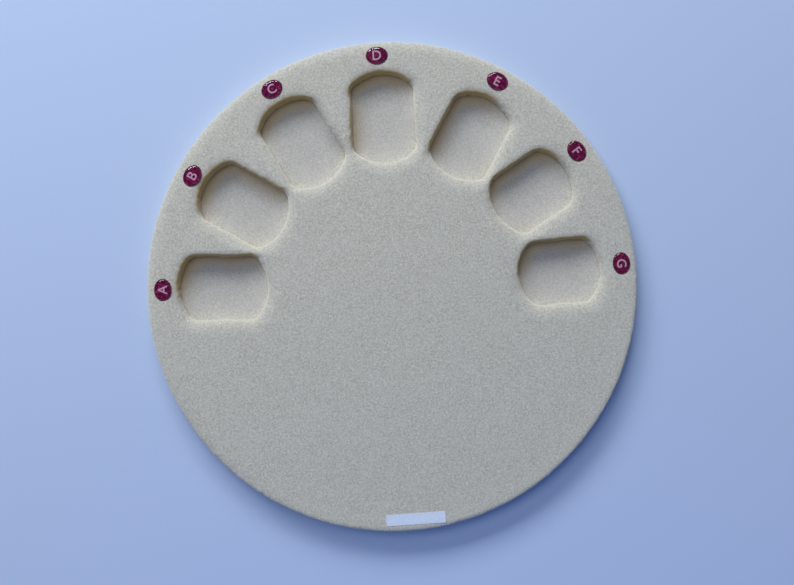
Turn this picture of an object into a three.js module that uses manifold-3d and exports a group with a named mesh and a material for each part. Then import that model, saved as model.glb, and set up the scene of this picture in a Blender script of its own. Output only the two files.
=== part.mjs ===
// Bead mat: two discs of flocked foam, bonded face to face. Cups for loose beads are windows cut
// through the upper disc, and the lower disc is their floor. A domed letter badge marks each cup,
// and a small paper label sits by the rim. Millimetres, +Z up, origin at the centre of the
// underside, middle cup towards +Y.

import * as THREE from 'three';
import { mergeVertices } from 'three/addons/utils/BufferGeometryUtils.js';
import Module from 'manifold-3d';

// Foam layers and the adhesive between them
const MAT_DIAMETER = 254;
const BASE_THICKNESS = 5;
const FILM_THICKNESS = 0.25;
const TOP_THICKNESS = 5;
const FILM_SETBACK = 1.5;

// Soft edges of the discs; the upper rim rolls over gently
const RIM_REACH = 7;
const RIM_DROP = 2.2;
const FOOT_ROUND = 1.8;
const SEAM_ROUND = 0.8;

// Cups: a circle trimmed by two flats that run towards the mat's centre, with a soft shoulder at the
// top and walls that lean inwards on their way down
const CUP_LENGTH = 47.2;
const CUP_WIDTH = 33.7;
const CUP_CORNER = 6.5;
const CUP_CORNER_GAP = 3.3;
const SHOULDER_REACH = 7.5;
const SHOULDER_DROP = 2.6;
const WALL_LEAN = 0.8;

// Badges: ovals that lie along the rim, outside the cups
const BADGE_LENGTH = 11.4;
const BADGE_WIDTH = 9;
const BADGE_TO_RIM = 3.5;
const BADGE_TO_CUP = 3.3;
const PLATE_THICKNESS = 0.25;
const DOME_SETBACK = 0.15;
const DOME_HEIGHT = 1.5;
const DOME_FULLNESS = 2.5;

// Paper label below the working area, its outer corners near the rim
const LABEL_LENGTH = 31;
const LABEL_WIDTH = 6.2;
const LABEL_THICKNESS = 0.125;
const LABEL_CORNER = 0.5;
const LABEL_ASIDE = 4;
const LABEL_TURN_DEG = 1.3;
const LABEL_TO_RIM = 1.8;

// Stations from left to right. Cups were cut and badges stuck on by hand: a cup can be shorter than
// the pattern or turned a little about the mat's centre, and a badge strays along and across the rim.
const STATIONS = [
  { letter: 'a', cupShort: 0, cupDeg: 0, badgeDeg: 0.3, badgeOut: -0.6 },
  { letter: 'b', cupShort: 0, cupDeg: 0, badgeDeg: -0.3, badgeOut: -1.1 },
  { letter: 'c', cupShort: 0, cupDeg: 0, badgeDeg: -0.7, badgeOut: 0.3 },
  { letter: 'd', cupShort: 0.4, cupDeg: 0.2, badgeDeg: 1, badgeOut: 0.6 },
  { letter: 'e', cupShort: 1.6, cupDeg: -1.1, badgeDeg: -0.7, badgeOut: 0.2 },
  { letter: 'f', cupShort: 3.5, cupDeg: 0, badgeDeg: 2, badgeOut: -0.6 },
  { letter: 'g', cupShort: 3.6, cupDeg: 0, badgeDeg: 0.8, badgeOut: 0.2 },
];

// Fineness of the facets
const DISC_SEGMENTS = 96;
const ROUND_STEPS = 4;
const RIM_STEPS = 7;
const CORNER_STEPS = 4;
const END_STEPS = 8;
const SHOULDER_STEPS = 7;
const BADGE_SEGMENTS = 28;
const DOME_STEPS = 5;
const CUT_OVERSHOOT = 1;

// Places worked out from the driving dimensions
const MAT_RADIUS = MAT_DIAMETER / 2;
const FILM_Z = BASE_THICKNESS;
const TOP_LAYER_Z = FILM_Z + FILM_THICKNESS;
const MAT_TOP_Z = TOP_LAYER_Z + TOP_THICKNESS;
const DOME_Z = MAT_TOP_Z + PLATE_THICKNESS;
const RIM_BAND = BADGE_TO_RIM + BADGE_WIDTH + BADGE_TO_CUP;
const CUP_PITCH_RADIUS = MAT_RADIUS - RIM_BAND - CUP_LENGTH / 2;
const BADGE_PITCH_RADIUS = MAT_RADIUS - BADGE_TO_RIM - BADGE_WIDTH / 2;
const CUP_STEP = cupStep();
const MIDDLE_STATION = (STATIONS.length - 1) / 2;

// Finishes
const IVORY_FLOCK = { color: 0xcfc9bb, roughness: 0.95, metalness: 0 };
const ADHESIVE = { color: 0xd9cfae, roughness: 0.5, metalness: 0 };
const PLUM_VINYL = { color: 0x5c1a3e, roughness: 0.5, metalness: 0 };
const CLEAR_RESIN = { color: 0x7a2a55, roughness: 0.08, metalness: 0 };
const WHITE_PAPER = { color: 0xf2f3f4, roughness: 0.8, metalness: 0 };

const wasm = await Module();
wasm.setup();

// Angle between neighbouring cups that leaves the corner gap between their sharp inner corners.
function cupStep() {
  const cornerX = CUP_WIDTH / 2;
  const cornerY = CUP_PITCH_RADIUS - Math.sqrt((CUP_LENGTH / 2) ** 2 - cornerX ** 2);
  const halfWidthAngle = Math.atan2(cornerX, cornerY);
  const halfGapAngle = Math.asin(CUP_CORNER_GAP / 2 / Math.hypot(cornerX, cornerY));
  return 2 * (halfWidthAngle + halfGapAngle);
}

// Solid for cutting: shared vertices merged, collapsed triangles left out.
function solidOf(geometry) {
  const bare = geometry.clone();
  bare.deleteAttribute('normal');
  bare.deleteAttribute('uv');
  const merged = mergeVertices(bare);
  const triangles = [];
  for (let i = 0; i < merged.index.count; i += 3) {
    const [a, b, c] = [0, 1, 2].map((k) => merged.index.getX(i + k));
    if (a !== b && b !== c && c !== a) triangles.push(a, b, c);
  }
  return new wasm.Manifold(new wasm.Mesh({
    numProp: 3,
    vertProperties: new Float32Array(merged.attributes.position.array),
    triVerts: new Uint32Array(triangles),
  }));
}

function geometryOf(solid) {
  const mesh = solid.getMesh();
  const geometry = new THREE.BufferGeometry();
  geometry.setAttribute('position', new THREE.BufferAttribute(mesh.vertProperties, 3));
  geometry.setIndex(new THREE.BufferAttribute(mesh.triVerts, 1));
  geometry.computeVertexNormals();
  return geometry;
}

// Closed solid through a stack of outlines of equal count, each at its own height.
function loft(rings) {
  const count = rings[0].points.length;
  const positions = rings.flatMap(({ points, z }) => points.flatMap((p) => [p.x, p.y, z]));
  const triangles = [];
  for (let ring = 0; ring < rings.length - 1; ring += 1) {
    for (let i = 0; i < count; i += 1) {
      const here = ring * count + i;
      const next = ring * count + (i + 1) % count;
      triangles.push(here, next, next + count, here, next + count, here + count);
    }
  }
  const topStart = (rings.length - 1) * count;
  for (const [a, b, c] of THREE.ShapeUtils.triangulateShape(rings[0].points, [])) {
    triangles.push(a, c, b, topStart + a, topStart + b, topStart + c);
  }
  const geometry = new THREE.BufferGeometry();
  geometry.setAttribute('position', new THREE.Float32BufferAttribute(positions, 3));
  geometry.setIndex(triangles);
  return geometry;
}

// Profile turned about Z; it runs from the axis below to the axis above.
function turned(profile, segments) {
  return new THREE.LatheGeometry(profile, segments).rotateX(Math.PI / 2);
}

function arcPoints(x, y, radius, from, to, steps) {
  return new THREE.EllipseCurve(x, y, radius, radius, from, to).getPoints(steps);
}

// Disc from z 0 to its thickness: a round at the lower edge, and an upper edge that rolls over from a
// reach inside the rim down to a drop below the face.
function foamDisc(thickness, lowerRound, upperReach, upperDrop, upperSteps) {
  const lower = arcPoints(MAT_RADIUS - lowerRound, lowerRound, lowerRound, -Math.PI / 2, 0, ROUND_STEPS);
  const upper = new THREE.EllipseCurve(
    MAT_RADIUS - upperReach, thickness - upperDrop, upperReach, upperDrop, 0, Math.PI / 2);
  return turned([
    new THREE.Vector2(0, 0),
    ...lower,
    ...upper.getPoints(upperSteps),
    new THREE.Vector2(0, thickness),
  ], DISC_SEGMENTS);
}

// Outline of one cup about its own centre, grown outwards by an offset. The end arcs leave out the
// points that they share with the corners.
function cupOutline(length, offset) {
  const cornerX = CUP_WIDTH / 2 - CUP_CORNER;
  const cornerY = Math.sqrt((length / 2 - CUP_CORNER) ** 2 - cornerX ** 2);
  const meet = Math.atan2(cornerY, cornerX);
  const corner = (x, y, from, to) => arcPoints(x, y, CUP_CORNER + offset, from, to, CORNER_STEPS);
  const end = (from, to) => arcPoints(0, 0, length / 2 + offset, from, to, END_STEPS).slice(1, -1);
  return [
    ...corner(cornerX, cornerY, 0, meet),
    ...end(meet, Math.PI - meet),
    ...corner(-cornerX, cornerY, Math.PI - meet, Math.PI),
    ...corner(-cornerX, -cornerY, Math.PI, Math.PI + meet),
    ...end(Math.PI + meet, 2 * Math.PI - meet),
    ...corner(cornerX, -cornerY, 2 * Math.PI - meet, 2 * Math.PI),
  ];
}

// Cutter for one cup window: leaning walls that open out into the soft shoulder at the top.
function cupCutter(length) {
  const wallTop = TOP_THICKNESS - SHOULDER_DROP;
  const ring = (offset, z) => ({ points: cupOutline(length, offset), z });
  const rings = [ring(-WALL_LEAN, -CUT_OVERSHOOT), ring(-WALL_LEAN, 0)];
  for (let step = 0; step <= SHOULDER_STEPS; step += 1) {
    const turn = (step / SHOULDER_STEPS) * (Math.PI / 2);
    rings.push(ring(SHOULDER_REACH * (1 - Math.cos(turn)), wallTop + SHOULDER_DROP * Math.sin(turn)));
  }
  rings.push(ring(SHOULDER_REACH, TOP_THICKNESS + CUT_OVERSHOOT));
  return loft(rings);
}

function stationAngle(index, strayDeg) {
  return (MIDDLE_STATION - index) * CUP_STEP + THREE.MathUtils.degToRad(strayDeg);
}

// One piece for each cup, made to that cup's length and turned to its place about the mat's centre.
function atEachCup(makeForLength) {
  return STATIONS.map(({ cupShort, cupDeg }, index) => makeForLength(CUP_LENGTH - cupShort)
    .translate(0, CUP_PITCH_RADIUS, 0)
    .rotateZ(stationAngle(index, cupDeg)));
}

function topLayer() {
  let layer = solidOf(foamDisc(TOP_THICKNESS, SEAM_ROUND, RIM_REACH, RIM_DROP, RIM_STEPS));
  for (const cutter of atEachCup(cupCutter)) layer = layer.subtract(solidOf(cutter));
  return geometryOf(layer);
}

// Film between the discs, set back from the rim and from every window.
function bondFilm() {
  const disc = new THREE.CylinderGeometry(
    MAT_RADIUS - FILM_SETBACK, MAT_RADIUS - FILM_SETBACK, FILM_THICKNESS, DISC_SEGMENTS);
  let film = solidOf(disc.rotateX(Math.PI / 2).translate(0, 0, FILM_THICKNESS / 2));
  const window = (length) => new THREE.ExtrudeGeometry(
    new THREE.Shape(cupOutline(length, FILM_SETBACK - WALL_LEAN)),
    { depth: FILM_THICKNESS + 2 * CUT_OVERSHOOT, bevelEnabled: false },
  ).translate(0, 0, -CUT_OVERSHOOT);
  for (const cutter of atEachCup(window)) film = film.subtract(solidOf(cutter));
  return geometryOf(film);
}

function badgePlate() {
  const outline = new THREE.Shape().absellipse(
    0, 0, BADGE_LENGTH / 2, BADGE_WIDTH / 2, 0, 2 * Math.PI);
  return new THREE.ExtrudeGeometry(outline, {
    depth: PLATE_THICKNESS,
    bevelEnabled: false,
    curveSegments: BADGE_SEGMENTS / 2,
  });
}

// Cast dome: steep at its edge and flat on its crown, turned round and then drawn in to an oval.
function badgeDome() {
  const halfLength = BADGE_LENGTH / 2 - DOME_SETBACK;
  const halfWidth = BADGE_WIDTH / 2 - DOME_SETBACK;
  const profile = [new THREE.Vector2(0, 0)];
  for (let step = 0; step <= DOME_STEPS; step += 1) {
    const turn = (step / DOME_STEPS) * (Math.PI / 2);
    const out = halfLength * Math.cos(turn) ** (2 / DOME_FULLNESS);
    profile.push(new THREE.Vector2(out, DOME_HEIGHT * Math.sin(turn) ** (2 / DOME_FULLNESS)));
  }
  profile[DOME_STEPS + 1].x = 0;
  return turned(profile, BADGE_SEGMENTS).scale(1, halfWidth / halfLength, 1);
}

function paperLabel() {
  const outline = new THREE.Shape();
  const x = LABEL_LENGTH / 2 - LABEL_CORNER;
  const y = LABEL_WIDTH / 2 - LABEL_CORNER;
  outline.absarc(x, y, LABEL_CORNER, 0, Math.PI / 2);
  outline.absarc(-x, y, LABEL_CORNER, Math.PI / 2, Math.PI);
  outline.absarc(-x, -y, LABEL_CORNER, Math.PI, 1.5 * Math.PI);
  outline.absarc(x, -y, LABEL_CORNER, 1.5 * Math.PI, 2 * Math.PI);
  return new THREE.ExtrudeGeometry(outline, {
    depth: LABEL_THICKNESS,
    bevelEnabled: false,
    curveSegments: ROUND_STEPS / 2,
  });
}

function piece(name, geometry, finish) {
  const mesh = new THREE.Mesh(geometry, new THREE.MeshStandardMaterial(finish));
  mesh.name = name;
  return mesh;
}

const beadMat = new THREE.Group();

const base = foamDisc(BASE_THICKNESS, FOOT_ROUND, SEAM_ROUND, SEAM_ROUND, ROUND_STEPS);
beadMat.add(piece('base_layer', base, IVORY_FLOCK));

const film = piece('bond_film', bondFilm(), ADHESIVE);
film.position.z = FILM_Z;
beadMat.add(film);

const upper = piece('top_layer', topLayer(), IVORY_FLOCK);
upper.position.z = TOP_LAYER_Z;
beadMat.add(upper);

STATIONS.forEach(({ letter, badgeDeg, badgeOut }, index) => {
  const station = new THREE.Group();
  station.rotation.z = stationAngle(index, badgeDeg);
  const plate = piece(`badge_plate_${letter}`, badgePlate(), PLUM_VINYL);
  plate.position.set(0, BADGE_PITCH_RADIUS + badgeOut, MAT_TOP_Z);
  const dome = piece(`badge_dome_${letter}`, badgeDome(), CLEAR_RESIN);
  dome.position.set(0, BADGE_PITCH_RADIUS + badgeOut, DOME_Z);
  station.add(plate, dome);
  beadMat.add(station);
});

const labelSide = new THREE.Group();
labelSide.rotation.z = THREE.MathUtils.degToRad(LABEL_TURN_DEG);
const label = piece('paper_label', paperLabel(), WHITE_PAPER);
const labelRadius = MAT_RADIUS - LABEL_TO_RIM;
const labelReach = Math.sqrt(labelRadius ** 2 - (LABEL_ASIDE + LABEL_LENGTH / 2) ** 2);
label.position.set(LABEL_ASIDE, -(labelReach - LABEL_WIDTH / 2), MAT_TOP_Z);
labelSide.add(label);
beadMat.add(labelSide);

export default beadMat;
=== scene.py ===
import math

import bpy
import numpy as np
from mathutils import Matrix, Vector, noise
from mathutils.kdtree import KDTree


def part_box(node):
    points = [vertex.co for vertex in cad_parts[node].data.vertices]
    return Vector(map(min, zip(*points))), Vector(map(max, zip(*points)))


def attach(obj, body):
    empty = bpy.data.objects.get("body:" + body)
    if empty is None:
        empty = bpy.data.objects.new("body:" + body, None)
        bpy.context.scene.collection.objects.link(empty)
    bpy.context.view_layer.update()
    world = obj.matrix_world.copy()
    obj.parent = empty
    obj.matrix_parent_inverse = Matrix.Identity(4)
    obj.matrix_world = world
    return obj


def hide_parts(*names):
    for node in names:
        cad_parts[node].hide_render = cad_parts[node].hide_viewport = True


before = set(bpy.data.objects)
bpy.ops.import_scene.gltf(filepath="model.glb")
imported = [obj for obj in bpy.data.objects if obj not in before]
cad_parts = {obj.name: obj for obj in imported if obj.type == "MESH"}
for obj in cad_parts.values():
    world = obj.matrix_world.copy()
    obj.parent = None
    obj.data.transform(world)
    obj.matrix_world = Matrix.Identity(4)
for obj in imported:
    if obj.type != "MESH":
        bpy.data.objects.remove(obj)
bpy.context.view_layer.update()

# The mat as packed: its box, its radius and its height, in metres, and the letters of its cups
MAT_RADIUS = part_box("base_layer")[1].x
MAT_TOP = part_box("top_layer")[1].z
LETTERS = "abcdefg"
MM = 0.001
UP = Vector((0, 0, 1))
IN_PLAN = (1, 1, 0)

# Photograph: its frame and where the mat lies in it, in pixels, how the mat is turned in it, and the camera
FRAME_WIDTH, FRAME_HEIGHT = 794, 585
MAT_CENTRE_PX = (391.9, 286.5)
MAT_RADIUS_PX = 245.8
MAT_TURN = math.radians(2.76)
CAMERA_DISTANCE = 0.48
CAMERA_NEAR = 0.01
SENSOR = 36

# Studio: a floor, a window-like soft box low beyond the top of the mat and a little to its left, a ceiling
# bounce above it, a weak blue patch of sky near the bottom edge, and an even fill
FLOOR_SIZE = 6
LAMP_DISTANCE = 1.6
WINDOW_AZIMUTH = math.radians(107)
WINDOW_HEIGHT = math.radians(29)
WINDOW_SIZE = (1.5, 0.5)
WINDOW_WATTS = 28.6
CEILING_AZIMUTH = math.radians(125)
CEILING_HEIGHT = math.radians(64)
CEILING_SIZE = (1.3, 0.7)
CEILING_WATTS = 7.4
SKY_AZIMUTH = math.radians(276)
SKY_HEIGHT = math.radians(32)
SKY_DISTANCE = 0.4
SKY_SIZE = (0.5, 0.3)
SKY_WATTS = 0.21
SKY_COLOUR = "#5A90FF"
LAMP_COLOUR = "#E8ECFA"
FILL_COLOUR = "#A0BCFF"
FILL_STRENGTH = 0.172

# Foam layers: remesh cell, and how far hand cutting and the soft nap move the surface. A pair of numbers,
# here and below, says where an effect sets in and where it is full.
MERGE_DISTANCE = 0.01 * MM
TOP_CELL = 0.75 * MM
BASE_CELL = 1.1 * MM
SMOOTH_FACTOR = 0.5
SMOOTH_ROUNDS = 3
NOISE_SHIFT = 17.3
FLAT_RING = 12 * MM
FLAT_RING_EASE = 4 * MM
CUP_ZONE = MAT_RADIUS - FLAT_RING
WHOLE_MAT = 2 * MAT_RADIUS
CUT_WANDER = 0.45 * MM
CUT_WANDER_SPAN = 13 * MM
RIM_WANDER_SHARE = 0.35
SURFACE_ROLL = 0.14 * MM
SURFACE_ROLL_SPAN = 45 * MM
NAP_DEPTH = 0.035 * MM
NAP_SPAN = 2.2 * MM
FUZZ_DEPTH = 0.22 * MM
FUZZ_SPAN = 1.7 * MM
FUZZ_UPRIGHT = (0.3, 0.8)
UNDERSIDE_NORMAL = -0.5

# Cups: use has pressed the floors hollow, and their flock is painted greyer and darker away from the walls,
# as painted shade. By the walls that face away from the window, the lips stand up and the floor swells a
# little.
WALL_UPRIGHT = 0.85
FLOOR_UPWARD = 0.5
SAG_DEPTH = 3 * MM
SAG_FLATNESS = 1.6
SAG_ROUNDS = 1200
HOLLOW_SHADE_SHARE = 0.32
HOLLOW_SHADE_DEPTH = (0, 0.4)
LIP_RISE = 1.35 * MM
LIP_REACH = 7.5 * MM
LIP_FACING = (0, 0.7)
LIP_FOOT = 5 * MM
LIP_SHOULDER = 2.5 * MM
LIP_EASE_ROUNDS = 5
WORN_END_SHARE = 0.5
WORN_END_FACING = (0.5, 0.95)
FOOT_SWELL = 0.35 * MM
FOOT_SWELL_REACH = 1.8 * MM

# Painted shade: a warm brown on the cup walls that face away from the window, fading over the floor before
# them.
# Bloom is the weight of the flock's sheen, which is weaker on those shaded walls.
SHADED_SIDE = Vector((0.45, -0.89, 0))
SHADED_FACING = (0.1, 0.8)
SHADE_SHALLOW = 0.4 * MM
SHADE_DEEP = 1.4 * MM
SHADE_EASE_ROUNDS = 6
SHADE_WALL_GAIN = 2.2
SHADE_SPREADING_WALL = 0.2
SHADED_FLOOR_UPWARD = 0.2
FLOOR_SHADE_REACH = 2.4 * MM
FLOOR_SHADE_START = 1.6
FLOOR_SHADE_GAIN = 1.35
SHADED_FACE_SHARE = 0.5
FLOCK_BLOOM = 0.9
SHADED_WALL_BLOOM = 0.35

# Badges: an oval print under a clear dome
BADGE_LENGTH = 11.4 * MM
BADGE_WIDTH = 9 * MM
DOME_SETBACK = 0.15 * MM
DOME_FULLNESS = 2.5
DOME_STEPS = 14
DOME_EDGE_ANGLE = math.radians(60)
OVAL_POINTS = 96
PRINT_EDGE = 0.08 * MM
PRINT_EDGE_STEPS = 2
PRINT_BORDER = 0.5 * MM
DOME_SINK = 0.05 * MM
LETTER_HEIGHT = 4.7 * MM
LETTER_DEPTH = 0.03 * MM
LETTER_WEIGHT = 0.012

# Paper label: how it is cut, how it lies, and how its ends lift
LABEL_LENGTH = 31 * MM
LABEL_WIDTH = 6.2 * MM
LABEL_TURN = math.radians(1.3)
LABEL_CELL = 0.5 * MM
LABEL_EASE_ROUNDS = 6
LABEL_GAP = 0.03 * MM
LABEL_LIFT = 0.12 * MM
LABEL_FLAT_SHARE = 0.8


def linear(hex_code):
    """Linear RGBA of an sRGB hex colour."""
    channels = [int(hex_code[i:i + 2], 16) / 255 for i in (1, 3, 5)]
    return (*[c / 12.92 if c <= 0.04045 else ((c + 0.055) / 1.055) ** 2.4 for c in channels], 1)


def add_node(material, kind, inputs=None, **settings):
    """Adds a node, sets it up, and fills its inputs with values or links."""
    node = material.node_tree.nodes.new(kind)
    for name, value in settings.items():
        setattr(node, name, value)
    for socket, value in (inputs or {}).items():
        if isinstance(value, bpy.types.NodeSocket):
            material.node_tree.links.new(value, node.inputs[socket])
        else:
            node.inputs[socket].default_value = value
    return node


def new_material(name):
    """Material with a Principled shader on its output, returned with that shader."""
    material = bpy.data.materials.new(name)
    material.use_nodes = True
    return material, material.node_tree.nodes["Principled BSDF"]


def link(material, output, shader, socket):
    """Links a node's output to a socket of the shader."""
    material.node_tree.links.new(output, shader.inputs[socket])


def per_metre(size_mm):
    """Texture scale at which one cell of a pattern is this many millimetres."""
    return 1000 / size_mm


def nylon_flock(name, bloom):
    """Ivory nylon flock on foam: upright cut fibres, matt, with a soft bloom where the face turns away,
    which is weaker on the cup walls that carry the painted shade.
    Tufts lean their own way, which gives a fine pebbled grain, and brushed patches are a little paler.
    Painted shade: the cup floors are greyer and darker away from their walls, and the cup walls that face
    away from the window, with the floor before them, are a warm brown."""
    material, shader = new_material(name)
    place = add_node(material, "ShaderNodeTexCoord").outputs["Object"]
    tufts = add_node(material, "ShaderNodeTexNoise", {
        "Vector": place, "Scale": per_metre(0.95), "Detail": 3.0, "Roughness": 0.75})
    grain = add_node(material, "ShaderNodeMapRange", {
        "Value": tufts.outputs["Fac"], "From Min": 0.32, "From Max": 0.68})
    tone = add_node(material, "ShaderNodeMix", {
        "Factor": grain.outputs["Result"], "A": linear("#A19D85"), "B": linear("#DBD8C1")},
        data_type="RGBA")
    brushed = add_node(material, "ShaderNodeTexNoise", {
        "Vector": place, "Scale": per_metre(6), "Detail": 2.0, "Roughness": 0.6})
    patches = add_node(material, "ShaderNodeMapRange", {
        "Value": brushed.outputs["Fac"], "From Min": 0.35, "From Max": 0.65, "To Max": 0.3})
    nap = add_node(material, "ShaderNodeMix", {
        "Factor": patches.outputs["Result"], "A": tone.outputs["Result"], "B": linear("#CBC9B5")},
        data_type="RGBA")
    # Painted shade: the cup floors are greyer and darker away from their walls
    hollowness = add_node(material, "ShaderNodeAttribute", attribute_name="hollow_shade")
    hollow_shaded = add_node(material, "ShaderNodeMix", {
        "Factor": hollowness.outputs["Fac"], "A": nap.outputs["Result"], "B": linear("#AFA9A5")},
        data_type="RGBA")
    # Painted shade: warm brown on the cup walls that face away from the window and on the floor before them
    shade_share = add_node(material, "ShaderNodeAttribute", attribute_name="wall_shade")
    shaded_tone = add_node(material, "ShaderNodeMix", {
        "Factor": shade_share.outputs["Fac"], "A": hollow_shaded.outputs["Result"], "B": linear("#C4A257")},
        data_type="RGBA")
    link(material, shaded_tone.outputs["Result"], shader, "Base Color")
    fibre = add_node(material, "ShaderNodeTexNoise", {
        "Vector": place, "Scale": per_metre(0.8), "Detail": 3.0, "Roughness": 0.75})
    relief = add_node(material, "ShaderNodeBump", {
        "Height": fibre.outputs["Fac"], "Strength": 0.9, "Distance": 0.16 * MM})
    link(material, relief.outputs["Normal"], shader, "Normal")
    shader.inputs["Roughness"].default_value = 0.95
    shader.inputs["Specular IOR Level"].default_value = 0.2
    shader.inputs["Sheen Weight"].default_value = bloom
    shader.inputs["Sheen Roughness"].default_value = 0.7
    shader.inputs["Sheen Tint"].default_value = linear("#F4ECDA")
    return material


def glitter_print():
    """Plum vinyl with fine printed glitter: flat ink, broken by flakes that differ in tone, and a
    darker ring along its edge."""
    material, shader = new_material("vinyl_plum_glitter_print")
    place = add_node(material, "ShaderNodeTexCoord").outputs["Object"]
    flakes = add_node(material, "ShaderNodeTexVoronoi", {
        "Vector": place, "Scale": per_metre(0.45)})
    pick = add_node(material, "ShaderNodeSeparateColor", {"Color": flakes.outputs["Color"]})
    ink = add_node(material, "ShaderNodeValToRGB", {"Fac": pick.outputs["Red"]})
    stops = ink.color_ramp.elements
    stops[0].position, stops[0].color = 0.0, linear("#3C0420")
    stops[1].position, stops[1].color = 1.0, linear("#96305A")
    middle = stops.new(0.75)
    middle.color = linear("#590B31")
    rim = add_node(material, "ShaderNodeAttribute", attribute_name="border")
    bordered = add_node(material, "ShaderNodeMix", {
        "Factor": rim.outputs["Fac"], "A": ink.outputs["Color"], "B": linear("#26030F")},
        data_type="RGBA")
    link(material, bordered.outputs["Result"], shader, "Base Color")
    shader.inputs["Roughness"].default_value = 0.45
    shader.inputs["Specular IOR Level"].default_value = 0.0
    return material


def letter_print():
    """Pale pink ink of the printed letter, slightly uneven as silk-screen ink is."""
    material, shader = new_material("silkscreen_ink_pale_pink")
    place = add_node(material, "ShaderNodeTexCoord").outputs["Object"]
    grain = add_node(material, "ShaderNodeTexNoise", {
        "Vector": place, "Scale": per_metre(0.5), "Detail": 2.0})
    ink = add_node(material, "ShaderNodeMix", {
        "Factor": grain.outputs["Fac"], "A": linear("#A3808D"), "B": linear("#BA99A4")},
        data_type="RGBA")
    link(material, ink.outputs["Result"], shader, "Base Color")
    shader.inputs["Roughness"].default_value = 0.5
    shader.inputs["Specular IOR Level"].default_value = 0.0
    return material


def clear_resin():
    """Cast clear resin: glassy, with a very slight unevenness that breaks its highlights."""
    material, shader = new_material("cast_clear_resin")
    place = add_node(material, "ShaderNodeTexCoord").outputs["Object"]
    flow = add_node(material, "ShaderNodeTexNoise", {
        "Vector": place, "Scale": per_metre(4), "Detail": 1.0})
    relief = add_node(material, "ShaderNodeBump", {
        "Height": flow.outputs["Fac"], "Strength": 0.1, "Distance": 0.04 * MM})
    link(material, relief.outputs["Normal"], shader, "Normal")
    shader.inputs["Base Color"].default_value = linear("#FBF3F8")
    shader.inputs["Roughness"].default_value = 0.03
    shader.inputs["IOR"].default_value = 1.5
    shader.inputs["Transmission Weight"].default_value = 1.0
    return material


def label_paper():
    """Uncoated white paper: matt, with a faint cloud of pulp."""
    material, shader = new_material("uncoated_white_paper")
    place = add_node(material, "ShaderNodeTexCoord").outputs["Object"]
    pulp = add_node(material, "ShaderNodeTexNoise", {
        "Vector": place, "Scale": per_metre(1.2), "Detail": 4.0})
    tone = add_node(material, "ShaderNodeMix", {
        "Factor": pulp.outputs["Fac"], "A": linear("#D6E3ED"), "B": linear("#E9F3F6")},
        data_type="RGBA")
    link(material, tone.outputs["Result"], shader, "Base Color")
    shader.inputs["Roughness"].default_value = 0.85
    return material


def adhesive_film():
    """Transfer adhesive: a thin honey-coloured film with a dull gloss and small trapped bubbles."""
    material, shader = new_material("transfer_adhesive")
    place = add_node(material, "ShaderNodeTexCoord").outputs["Object"]
    bubbles = add_node(material, "ShaderNodeTexVoronoi", {
        "Vector": place, "Scale": per_metre(3)})
    tone = add_node(material, "ShaderNodeMix", {
        "Factor": bubbles.outputs["Distance"], "A": linear("#D9CFAE"), "B": linear("#C2B287")},
        data_type="RGBA")
    link(material, tone.outputs["Result"], shader, "Base Color")
    shader.inputs["Roughness"].default_value = 0.5
    return material


def select_only(piece):
    """Selects one piece alone and makes it the active one."""
    bpy.ops.object.select_all(action="DESELECT")
    piece.select_set(True)
    bpy.context.view_layer.objects.active = piece


def apply_modifier(piece, kind, **settings):
    """Adds a modifier, sets it up and applies it."""
    select_only(piece)
    modifier = piece.modifiers.new(kind.lower(), kind)
    for name, value in settings.items():
        setattr(modifier, name, value)
    bpy.ops.object.modifier_apply(modifier=modifier.name)


def finish_piece(piece, material, slot, *nodes):
    """Gives a piece its material, fixes it to the mat and hides the CAD nodes it stands for; slot is not
    used.
    """
    piece.data.materials.clear()
    piece.data.materials.append(material)
    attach(piece, "root")
    if nodes:
        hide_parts(*nodes)


def own_copy(node, name):
    """New object with a copy of a CAD node's mesh, its loose triangles joined."""
    piece = bpy.data.objects.new(name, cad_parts[node].data.copy())
    bpy.context.scene.collection.objects.link(piece)
    select_only(piece)
    bpy.ops.object.mode_set(mode="EDIT")
    bpy.ops.mesh.select_all(action="SELECT")
    bpy.ops.mesh.remove_doubles(threshold=MERGE_DISTANCE)
    bpy.ops.object.mode_set(mode="OBJECT")
    return piece


def coordinates(mesh, kind):
    """Vertex places or normals as an array of rows."""
    values = np.empty(len(mesh.vertices) * 3, np.float32)
    mesh.vertices.foreach_get(kind, values)
    return values.reshape(-1, 3).astype(float)


def move_vertices(mesh, places):
    """Puts a mesh's vertices at new places."""
    mesh.vertices.foreach_set("co", places.astype(np.float32).ravel())
    mesh.update()


def plan_length(rows):
    """Length of each row as seen from above."""
    return np.hypot(rows[:, 0], rows[:, 1])


def noise_at(places, span, seed):
    """Smooth noise from -1 to 1 at each place, with features of the given span."""
    shifted = places / span + seed * NOISE_SHIFT
    return np.array([noise.noise(Vector(row)) for row in shifted])


def smooth_step(values, low, high):
    """Share that goes from 0 at low to 1 at high, eased at both ends."""
    t = np.clip((values - low) / (high - low), 0, 1)
    return t * t * (3 - 2 * t)


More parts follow.
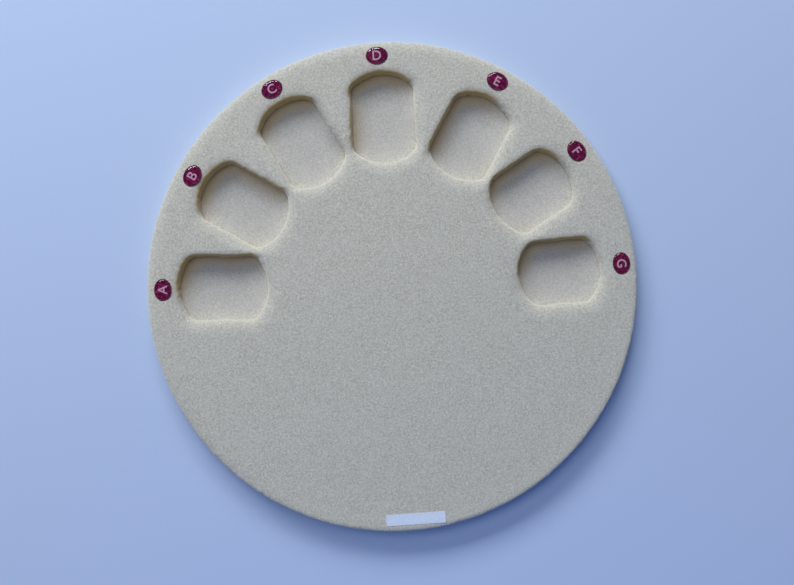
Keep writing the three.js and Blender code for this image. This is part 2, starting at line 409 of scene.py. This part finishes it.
def soften(piece):
    """Makes a foam disc look cut by hand and soft: its outlines wander, its face rolls gently, the nap
    stands unevenly, and fibres roughen its edges."""
    mesh = piece.data
    place = coordinates(mesh, "co")
    normal = coordinates(mesh, "normal")
    flat = place * IN_PLAN
    inner = 1 - smooth_step(plan_length(place), CUP_ZONE - FLAT_RING_EASE, CUP_ZONE)
    wander = CUT_WANDER * (RIM_WANDER_SHARE + (1 - RIM_WANDER_SHARE) * inner)
    place[:, 0] += wander * noise_at(flat, CUT_WANDER_SPAN, 1)
    place[:, 1] += wander * noise_at(flat, CUT_WANDER_SPAN, 2)
    upward = np.clip(normal[:, 2], 0, 1)
    place[:, 2] += upward * inner * SURFACE_ROLL * noise_at(flat, SURFACE_ROLL_SPAN, 3)
    upright = smooth_step(plan_length(normal), *FUZZ_UPRIGHT)
    nap = NAP_DEPTH * noise_at(place, NAP_SPAN, 4)
    fuzz = FUZZ_DEPTH * upright * noise_at(place, FUZZ_SPAN, 5)
    in_sight = normal[:, 2] > UNDERSIDE_NORMAL
    place += normal * ((nap + fuzz) * in_sight)[:, None]
    move_vertices(mesh, place)


def store(piece, name, amounts):
    """Stores an amount at each vertex, which a material reads as an attribute."""
    layer = piece.data.attributes.new(name, "FLOAT", "POINT")
    layer.data.foreach_set("value", np.asarray(amounts, np.float32))


def tree_of(places):
    """Search tree over places, for the nearest of them."""
    tree = KDTree(len(places))
    for index, place in enumerate(places):
        tree.insert(place, index)
    tree.balance()
    return tree


def neighbour_mean(mesh):
    """Function that turns an amount for each vertex into the mean of its neighbours' amounts."""
    edges = np.empty(len(mesh.edges) * 2, np.int32)
    mesh.edges.foreach_get("vertices", edges)
    first, second = edges.reshape(-1, 2).T
    count = len(mesh.vertices)
    neighbours = np.bincount(edges, minlength=count)

    def mean(amounts):
        around = np.bincount(first, amounts[second], count) + np.bincount(second, amounts[first], count)
        return around / neighbours

    return mean


def spread(piece, amounts, rounds):
    """Evens out amounts over a piece's vertices."""
    mean = neighbour_mean(piece.data)
    for _ in range(rounds):
        amounts = mean(amounts)
    return amounts


def walls_within(upper, radius):
    """Places in plan of the upper disc's upright faces inside a radius, and the way that they face."""
    place = coordinates(upper.data, "co") * IN_PLAN
    normal = coordinates(upper.data, "normal")
    upright = (plan_length(normal) > WALL_UPRIGHT) & (plan_length(place) < radius)
    return place[upright], normal[upright]


def shaded_facing(normals):
    """How far upright faces look away from the window, to the side where shade is painted, from 0 to 1."""
    return smooth_step(normals @ np.array(SHADED_SIDE), *SHADED_FACING)


def fill_lips(upper):
    """Raises the rim and the lips that face away from the window, on the side where shade is painted: the
    edge is crisper there, apart from the outer end of a cup, which is worn round."""
    walls, facing = walls_within(upper, WHOLE_MAT)
    fullness = smooth_step(facing @ np.array(SHADED_SIDE), *LIP_FACING)
    inward = -np.sum(facing * walls, axis=1) / plan_length(walls)
    fullness *= 1 - WORN_END_SHARE * smooth_step(inward, *WORN_END_FACING)
    tree = tree_of(walls)
    place = coordinates(upper.data, "co")
    share = smooth_step(place[:, 2], MAT_TOP - LIP_FOOT, MAT_TOP - LIP_SHOULDER)
    rise = np.zeros(len(place))
    for index in np.nonzero(share)[0]:
        wall, away = tree.find(place[index] * IN_PLAN)[1:]
        rise[index] = LIP_RISE * fullness[wall] * share[index] * max(0, 1 - away / LIP_REACH) ** 2
    place[:, 2] += spread(upper, rise, LIP_EASE_ROUNDS)
    move_vertices(upper.data, place)


def press_floors(lower, upper):
    """Sinks each cup floor of the lower disc like a loaded skin that is held along the walls, and lets it
    swell up at the foot of the walls that face away from the window, where shade is painted."""
    place = coordinates(lower.data, "co")
    upward = coordinates(lower.data, "normal")[:, 2] > FLOOR_UPWARD
    floor = upward & (plan_length(place) < CUP_ZONE)
    walls, facing = walls_within(upper, CUP_ZONE)
    fullness = shaded_facing(facing)
    tree = tree_of(walls)
    in_cup = np.zeros(len(place))
    swell = np.zeros(len(place))
    for index in np.nonzero(floor)[0]:
        flat = place[index] * IN_PLAN
        wall, away = tree.find(flat)[1:]
        in_cup[index] = (flat - walls[wall]) @ facing[wall] > 0
        swell[index] = FOOT_SWELL * fullness[wall] * max(0, 1 - away / FOOT_SWELL_REACH) ** 2
    mean = neighbour_mean(lower.data)
    sag = np.zeros(len(place))
    for _ in range(SAG_ROUNDS):
        sag = in_cup * (mean(sag) + 1)
    depth = 1 - (1 - sag / sag.max()) ** SAG_FLATNESS
    place[:, 2] += in_cup * swell - SAG_DEPTH * depth
    move_vertices(lower.data, place)
    # Painted shade: the floor is greyer and darker away from its walls, where the hollow is deeper
    store(lower, "hollow_shade", HOLLOW_SHADE_SHARE * smooth_step(depth, *HOLLOW_SHADE_DEPTH))


def put_on_shaded_faces(piece, amounts, material):
    """Gives a second material, the flock with less sheen, to the faces that mostly carry the painted shade,
    by the mean over their corners.
    """
    mesh = piece.data
    corners = np.empty(len(mesh.loops), np.int32)
    mesh.loops.foreach_get("vertex_index", corners)
    starts = np.empty(len(mesh.polygons), np.int32)
    mesh.polygons.foreach_get("loop_start", starts)
    sizes = np.empty(len(mesh.polygons), np.int32)
    mesh.polygons.foreach_get("loop_total", sizes)
    share = np.add.reduceat(amounts[corners], starts) / sizes
    mesh.materials.append(material)
    mesh.polygons.foreach_set("material_index", (share > SHADED_FACE_SHARE).astype(np.int32))


def paint_wall_shade(upper, lower, shaded_wall_flock):
    """Paints shade: a warm brown on the upper disc's cup walls that face away from the window, which also
    get the flock with less sheen, fading out over the floor before them.
    """
    place = coordinates(upper.data, "co")
    normal = coordinates(upper.data, "normal")
    inside = plan_length(place) < CUP_ZONE
    below = 1 - smooth_step(place[:, 2], MAT_TOP - SHADE_DEEP, MAT_TOP - SHADE_SHALLOW)
    shade_share = spread(upper, shaded_facing(normal) * below * inside, SHADE_EASE_ROUNDS)
    wall = np.minimum(1, SHADE_WALL_GAIN * shade_share)
    store(upper, "wall_shade", wall)
    put_on_shaded_faces(upper, wall, shaded_wall_flock)
    shading_walls = np.nonzero(wall > SHADE_SPREADING_WALL)[0]
    tree = tree_of(place[shading_walls])
    floor = coordinates(lower.data, "co")
    fringe = np.zeros(len(floor))
    upward = coordinates(lower.data, "normal")[:, 2] > SHADED_FLOOR_UPWARD
    for index in np.nonzero(upward)[0]:
        nearest, away = tree.find(floor[index])[1:]
        fringe[index] = wall[shading_walls[nearest]] * min(1, FLOOR_SHADE_START * math.exp(-away / FLOOR_SHADE_REACH))
    floor_shade = spread(lower, fringe, SHADE_EASE_ROUNDS)
    store(lower, "wall_shade", np.minimum(1, FLOOR_SHADE_GAIN * floor_shade))


def foam_layer(node, name, cell, material):
    """Soft disc in the place of a CAD disc: the same form, finely remeshed, eased and roughened."""
    piece = own_copy(node, name)
    apply_modifier(piece, "REMESH", mode="VOXEL", voxel_size=cell, use_smooth_shade=True)
    apply_modifier(piece, "SMOOTH", factor=SMOOTH_FACTOR, iterations=SMOOTH_ROUNDS)
    soften(piece)
    select_only(piece)
    bpy.ops.object.shade_smooth()
    finish_piece(piece, material, "flocked_foam", node)
    return piece


def oval(name, height):
    """Filled round outline at a height, in edit mode and all selected, ready to be drawn out to an oval."""
    bpy.ops.object.select_all(action="DESELECT")
    bpy.ops.mesh.primitive_circle_add(vertices=OVAL_POINTS, radius=1, fill_type="NGON")
    piece = bpy.context.object
    piece.name = name
    bpy.ops.object.mode_set(mode="EDIT")
    bpy.ops.mesh.select_all(action="SELECT")
    bpy.ops.transform.translate(value=(0, 0, height))
    return piece


def model_plate(height, thickness):
    """Printed oval with a slightly eased edge, about the badge's own centre."""
    piece = oval("badge_plate_model", height)
    half_length = BADGE_LENGTH / 2
    half_width = BADGE_WIDTH / 2
    bpy.ops.transform.resize(value=(half_length, half_width, 1), center_override=(0, 0, height))
    bpy.ops.mesh.extrude_region_move(TRANSFORM_OT_translate={"value": (0, 0, thickness)})
    bpy.ops.mesh.inset(thickness=PRINT_BORDER)
    bpy.ops.mesh.select_all(action="SELECT")
    bpy.ops.mesh.normals_make_consistent(inside=False)
    bpy.ops.object.mode_set(mode="OBJECT")
    apply_modifier(piece, "BEVEL", width=PRINT_EDGE, segments=PRINT_EDGE_STEPS, limit_method="ANGLE")
    place = coordinates(piece.data, "co")
    out = np.hypot(place[:, 0] / half_length, place[:, 1] / half_width)
    store(piece, "border", out > 1 - PRINT_BORDER / BADGE_LENGTH)
    return piece


def model_dome(low, height):
    """Clear dome about the badge's own centre: rings drawn in step by step up to its crown."""
    piece = oval("badge_dome_model", low)
    half_length = BADGE_LENGTH / 2 - DOME_SETBACK
    half_width = BADGE_WIDTH / 2 - DOME_SETBACK
    bpy.ops.transform.resize(value=(half_length, half_width, 1), center_override=(0, 0, low))
    scale, rise = 1.0, 0.0
    for step in range(1, DOME_STEPS):
        turn = step / DOME_STEPS * math.pi / 2
        next_scale = math.cos(turn) ** (2 / DOME_FULLNESS)
        next_rise = height * math.sin(turn) ** (2 / DOME_FULLNESS)
        bpy.ops.mesh.extrude_region_move(TRANSFORM_OT_translate={"value": (0, 0, next_rise - rise)})
        ratio = next_scale / scale
        bpy.ops.transform.resize(value=(ratio, ratio, 1), center_override=(0, 0, low))
        scale, rise = next_scale, next_rise
    bpy.ops.mesh.poke(offset=height - rise)
    bpy.ops.mesh.select_all(action="SELECT")
    bpy.ops.mesh.normals_make_consistent(inside=False)
    bpy.ops.object.mode_set(mode="OBJECT")
    return piece


def model_letter(letter, height):
    """Plain capital, upright about the badge's own centre."""
    bpy.ops.object.select_all(action="DESELECT")
    bpy.ops.object.text_add()
    piece = bpy.context.object
    piece.data.body = letter.upper()
    piece.data.align_x = "CENTER"
    piece.data.extrude = LETTER_DEPTH / 2
    piece.data.offset = LETTER_WEIGHT
    bpy.ops.object.convert(target="MESH")
    piece = bpy.context.object
    piece.name = f"letter_{letter}"
    place = coordinates(piece.data, "co")
    low, high = place.min(0), place.max(0)
    grow = LETTER_HEIGHT / (high[1] - low[1])
    middle = (low + high) / 2
    sit = Matrix.Translation((0, 0, height + LETTER_DEPTH / 2))
    shape = Matrix.Diagonal((grow, grow, 1, 1)) @ Matrix.Translation((-middle[0], -middle[1], 0))
    piece.data.transform(sit @ shape)
    return piece


def placed_copy(model, name, where):
    """Copy of a modelled piece with its own mesh, its place in that mesh."""
    piece = bpy.data.objects.new(name, model.data.copy())
    bpy.context.scene.collection.objects.link(piece)
    piece.data.transform(where)
    return piece


def badges():
    """One badge by each cup, turned so that the top of its letter faces the rim."""
    print_low, print_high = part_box("badge_plate_a")
    dome_low, dome_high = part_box("badge_dome_a")
    plate_model = model_plate(print_low.z, print_high.z - print_low.z)
    dome_model = model_dome(dome_low.z - DOME_SINK, dome_high.z - dome_low.z + DOME_SINK)
    ink, vinyl, resin = letter_print(), glitter_print(), clear_resin()
    for letter in LETTERS:
        low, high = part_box(f"badge_plate_{letter}")
        centre = (low + high) / 2
        turn = math.atan2(centre.y, centre.x) - math.pi / 2
        where = Matrix.Translation((centre.x, centre.y, 0)) @ Matrix.Rotation(turn, 4, "Z")
        plate = placed_copy(plate_model, f"printed_oval_{letter}", where)
        finish_piece(plate, vinyl, "printed_vinyl", f"badge_plate_{letter}")
        dome = placed_copy(dome_model, f"resin_dome_{letter}", where)
        select_only(dome)
        bpy.ops.object.shade_smooth_by_angle(angle=DOME_EDGE_ANGLE)
        # Light passes through the clear dome to the print, which its shadow would hide
        dome.visible_shadow = False
        finish_piece(dome, resin, "clear_resin", f"badge_dome_{letter}")
        ink_letter = model_letter(letter, print_high.z)
        ink_letter.data.transform(where)
        finish_piece(ink_letter, ink, "printed_vinyl")
    bpy.data.objects.remove(plate_model)
    bpy.data.objects.remove(dome_model)


def paper_label(upper):
    """Thin white strip that lies on the upper disc and follows the roll of its rim, its ends lifting."""
    low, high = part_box("paper_label")
    centre = (low + high) / 2
    bpy.ops.object.select_all(action="DESELECT")
    bpy.ops.mesh.primitive_grid_add(
        x_subdivisions=round(LABEL_LENGTH / LABEL_CELL),
        y_subdivisions=round(LABEL_WIDTH / LABEL_CELL),
        size=1)
    piece = bpy.context.object
    piece.name = "label_strip"
    bpy.ops.object.mode_set(mode="EDIT")
    bpy.ops.mesh.select_all(action="SELECT")
    bpy.ops.transform.resize(value=(LABEL_LENGTH, LABEL_WIDTH, 1), center_override=(0, 0, 0))
    bpy.ops.object.mode_set(mode="OBJECT")
    along = np.abs(coordinates(piece.data, "co")[:, 0])
    half_length = LABEL_LENGTH / 2
    lift = LABEL_LIFT * smooth_step(along, LABEL_FLAT_SHARE * half_length, half_length)
    where = Matrix.Translation((centre.x, centre.y, high.z)) @ Matrix.Rotation(LABEL_TURN, 4, "Z")
    piece.data.transform(where)
    apply_modifier(piece, "SHRINKWRAP", target=upper, wrap_method="PROJECT", use_project_z=True,
                   use_negative_direction=True, use_positive_direction=True, offset=LABEL_GAP)
    apply_modifier(piece, "SMOOTH", factor=SMOOTH_FACTOR, iterations=LABEL_EASE_ROUNDS)
    place = coordinates(piece.data, "co")
    place[:, 2] += lift
    move_vertices(piece.data, place)
    apply_modifier(piece, "SOLIDIFY", thickness=high.z - low.z, offset=1)
    finish_piece(piece, label_paper(), "label_paper", "paper_label")


def studio_floor():
    """Pale matt floor under the mat."""
    bpy.ops.object.select_all(action="DESELECT")
    bpy.ops.mesh.primitive_plane_add(size=FLOOR_SIZE)
    floor = bpy.context.object
    floor.name = "floor"
    material, shader = new_material("matt_pale_card")
    shader.inputs["Base Color"].default_value = linear("#C3D4E8")
    shader.inputs["Roughness"].default_value = 0.9
    floor.data.materials.append(material)


def soft_box(name, azimuth, height, size, watts, distance=LAMP_DISTANCE, colour=LAMP_COLOUR):
    """Rectangular lamp that stands off in a direction, turned to the mat's middle."""
    direction = Vector((
        math.cos(azimuth) * math.cos(height),
        math.sin(azimuth) * math.cos(height),
        math.sin(height)))
    lamp = bpy.data.lights.new(name, "AREA")
    lamp.shape = "RECTANGLE"
    lamp.size, lamp.size_y = size
    lamp.energy = watts
    lamp.color = linear(colour)[:3]
    box = bpy.data.objects.new(name, lamp)
    box.location = direction * distance
    box.rotation_euler = direction.to_track_quat("Z", "Y").to_euler()
    bpy.context.scene.collection.objects.link(box)
    return box


def studio_light():
    """Soft box like a window beyond the top of the mat, a softer one over it like a bright ceiling, a weak
    blue one near the bottom edge like a patch of sky, and a fill. Ceiling and sky cast no gloss."""
    soft_box("window", WINDOW_AZIMUTH, WINDOW_HEIGHT, WINDOW_SIZE, WINDOW_WATTS)
    ceiling = soft_box("ceiling", CEILING_AZIMUTH, CEILING_HEIGHT, CEILING_SIZE, CEILING_WATTS)
    ceiling.visible_glossy = False
    sky = soft_box("sky", SKY_AZIMUTH, SKY_HEIGHT, SKY_SIZE, SKY_WATTS, SKY_DISTANCE, SKY_COLOUR)
    sky.visible_glossy = False
    world = bpy.context.scene.world or bpy.data.worlds.new("studio")
    bpy.context.scene.world = world
    world.use_nodes = True
    background = world.node_tree.nodes["Background"]
    background.inputs["Color"].default_value = linear(FILL_COLOUR)
    background.inputs["Strength"].default_value = FILL_STRENGTH


def photo_camera():
    """Camera straight above the mat, framed as the photograph is."""
    right = Vector((math.cos(MAT_TURN), -math.sin(MAT_TURN), 0))
    ahead = UP.cross(right)
    edge_distance = CAMERA_DISTANCE - MAT_TOP
    pixels_per_metre = MAT_RADIUS_PX / MAT_RADIUS
    aside = (FRAME_WIDTH / 2 - MAT_CENTRE_PX[0]) / pixels_per_metre
    below = (FRAME_HEIGHT / 2 - MAT_CENTRE_PX[1]) / pixels_per_metre
    target = UP * MAT_TOP + right * aside - ahead * below
    lens = bpy.data.cameras.new("camera")
    lens.sensor_width = SENSOR
    lens.lens = MAT_RADIUS_PX * edge_distance / MAT_RADIUS * SENSOR / FRAME_WIDTH
    lens.clip_start = CAMERA_NEAR
    camera = bpy.data.objects.new("camera", lens)
    turn = Matrix((right, ahead, UP)).transposed()
    camera.matrix_world = Matrix.Translation(target + UP * edge_distance) @ turn.to_4x4()
    bpy.context.scene.collection.objects.link(camera)
    bpy.context.scene.camera = camera


bpy.context.scene.view_settings.view_transform = "Standard"
photo_camera()
studio_light()
studio_floor()
flock = nylon_flock("nylon_flock_on_foam", FLOCK_BLOOM)
shaded_wall_flock = nylon_flock("shaded_wall_flock_on_foam", SHADED_WALL_BLOOM)
lower_disc = foam_layer("base_layer", "lower_disc", BASE_CELL, flock)
upper_disc = foam_layer("top_layer", "upper_disc", TOP_CELL, flock)
fill_lips(upper_disc)
press_floors(lower_disc, upper_disc)
paint_wall_shade(upper_disc, lower_disc, shaded_wall_flock)
badges()
paper_label(upper_disc)

# The film stays as the CAD node, with its own material
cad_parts["bond_film"].data.materials.clear()
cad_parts["bond_film"].data.materials.append(adhesive_film())
